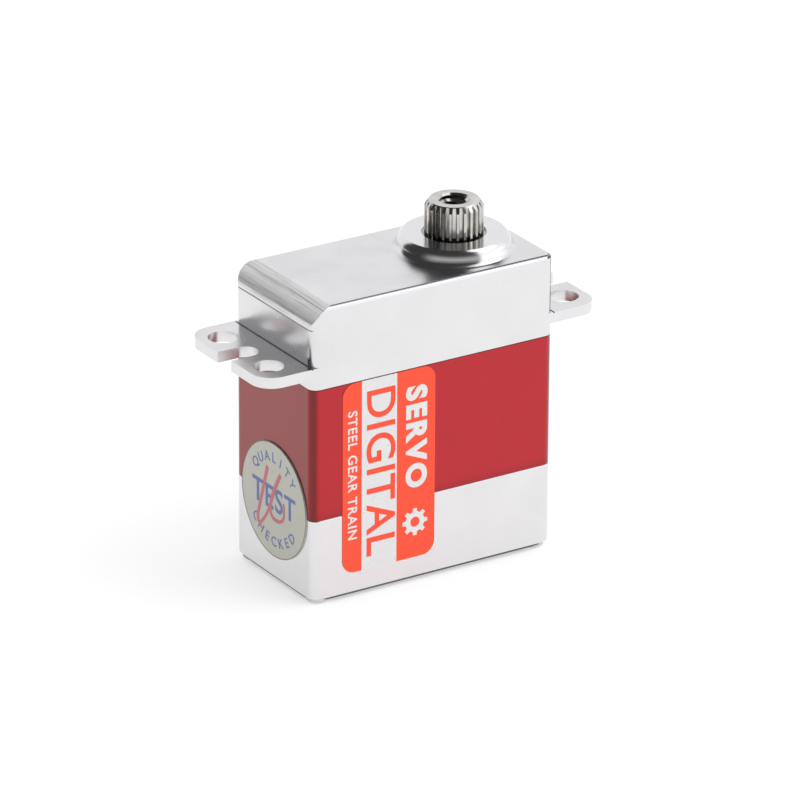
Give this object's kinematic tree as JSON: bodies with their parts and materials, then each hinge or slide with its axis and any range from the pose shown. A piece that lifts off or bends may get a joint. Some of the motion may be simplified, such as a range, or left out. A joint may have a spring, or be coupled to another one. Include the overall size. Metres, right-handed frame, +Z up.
{
  "type": "hobby servo motor",
  "caption": "Metal-cased mini hobby servo with slotted mounting ears, a splined output shaft on a raised boss and a coreless motor geared down inside.",
  "frame": {"origin": "centre of the case footprint, at the level of the screw heads that it stands on", "axes": "X along the case with the output shaft towards +X, Y across the case with the labelled side at -Y, Z up along the output shaft"},
  "size_m": [0.0402, 0.0151, 0.0373],
  "materials": {
    "anodised_silver": "satin machined aluminium, clear anodised",
    "anodised_red": "satin red anodised aluminium",
    "spline_steel": "polished hardened steel",
    "screw_steel": "bright plated steel",
    "gear_steel": "cut gear steel",
    "bearing_steel": "ground bearing steel",
    "bush_bronze": "sintered bronze",
    "brass": "plain brass",
    "magnet": "nickel plated magnet",
    "copper_coil": "enamelled copper winding",
    "motor_plastic": "moulded plastic",
    "board_green": "solder mask",
    "chip_black": "moulded epoxy",
    "capacitor_tan": "moulded capacitor",
    "gland_rubber": "soft rubber",
    "label_print": "printed gloss vinyl",
    "sticker_print": "printed silver foil sticker"
  },
  "bodies": {
    "case": {"top_case": "anodised_silver", "middle_case": "anodised_red", "bottom_case": "anodised_silver", "case_screws": "screw_steel", "cable_grommet": "gland_rubber", "side_label": "label_print", "inspection_sticker": "sticker_print", "idler_pin": "bearing_steel", "motor_can": "screw_steel", "motor_magnet": "magnet", "motor_end_cap": "motor_plastic", "motor_terminals": "brass", "motor_brushes": "brass", "motor_screws": "screw_steel", "circuit_board": "board_green", "microcontroller": "chip_black", "drive_transistors": "chip_black", "capacitors": "capacitor_tan", "oscillator": "screw_steel", "resistors": "chip_black", "potentiometer_body": "motor_plastic", "potentiometer_track": "chip_black", "potentiometer_leads": "brass", "motor_front_bush": "bush_bronze", "motor_rear_bush": "bush_bronze", "upper_bearing_outer_ring": "bearing_steel", "lower_bearing_outer_ring": "bearing_steel"},
    "output": {"output_shaft": "spline_steel", "output_gear": "gear_steel", "output_pin": "bearing_steel", "upper_bearing_inner_ring": "bearing_steel", "lower_bearing_inner_ring": "bearing_steel", "potentiometer_rotor": "motor_plastic", "potentiometer_wiper": "brass"},
    "upper_balls": {"upper_bearing_balls": "bearing_steel", "upper_bearing_cage": "brass"},
    "lower_balls": {"lower_bearing_balls": "bearing_steel", "lower_bearing_cage": "brass"},
    "third_gear": {"third_gear": "gear_steel"},
    "second_gear": {"second_gear": "gear_steel"},
    "first_gear": {"first_gear": "gear_steel"},
    "motor_rotor": {"motor_shaft": "bearing_steel", "motor_pinion": "brass", "motor_coil": "copper_coil", "coil_hub": "motor_plastic", "commutator": "brass"}
  },
  "joints": [
    {"name": "output_turn", "type": "hinge", "parent": "case", "child": "output", "pos_m": [0.00705, 0, 0.0285], "axis": [0, 0, 1], "range_deg": [-80, 80]},
    {"name": "third_gear_turn", "type": "hinge", "parent": "case", "child": "third_gear", "pos_m": [0, 0, 0.0285], "axis": [0, 0, 1], "range_deg": [-240.12, 240.12]},
    {"name": "second_gear_turn", "type": "hinge", "parent": "case", "child": "second_gear", "pos_m": [0.00705, 0, 0.0285], "axis": [0, 0, 1], "range_deg": [-880.44, 880.44]},
    {"name": "first_gear_turn", "type": "hinge", "parent": "case", "child": "first_gear", "pos_m": [0, 0, 0.0285], "axis": [0, 0, 1], "range_deg": [-3228.28, 3228.28]},
    {"name": "motor_turn", "type": "hinge", "parent": "case", "child": "motor_rotor", "pos_m": [-0.00665, 0, 0.0285], "axis": [0, 0, 1], "range_deg": [-18078.37, 18078.37]},
    {"name": "upper_balls_turn", "type": "hinge", "parent": "case", "child": "upper_balls", "pos_m": [0.00705, 0, 0.0285], "axis": [0, 0, 1], "range_deg": [-35.02, 35.02]},
    {"name": "lower_balls_turn", "type": "hinge", "parent": "case", "child": "lower_balls", "pos_m": [0.00705, 0, 0.0285], "axis": [0, 0, 1], "range_deg": [-31.29, 31.29]}
  ],
  "couplings": [
    {"joint": "third_gear_turn", "follows": "output_turn", "ratio": -3},
    {"joint": "second_gear_turn", "follows": "output_turn", "ratio": 11},
    {"joint": "first_gear_turn", "follows": "output_turn", "ratio": -40.333},
    {"joint": "motor_turn", "follows": "output_turn", "ratio": 225.87},
    {"joint": "upper_balls_turn", "follows": "output_turn", "ratio": 0.4375},
    {"joint": "lower_balls_turn", "follows": "output_turn", "ratio": 0.39091}
  ]
}
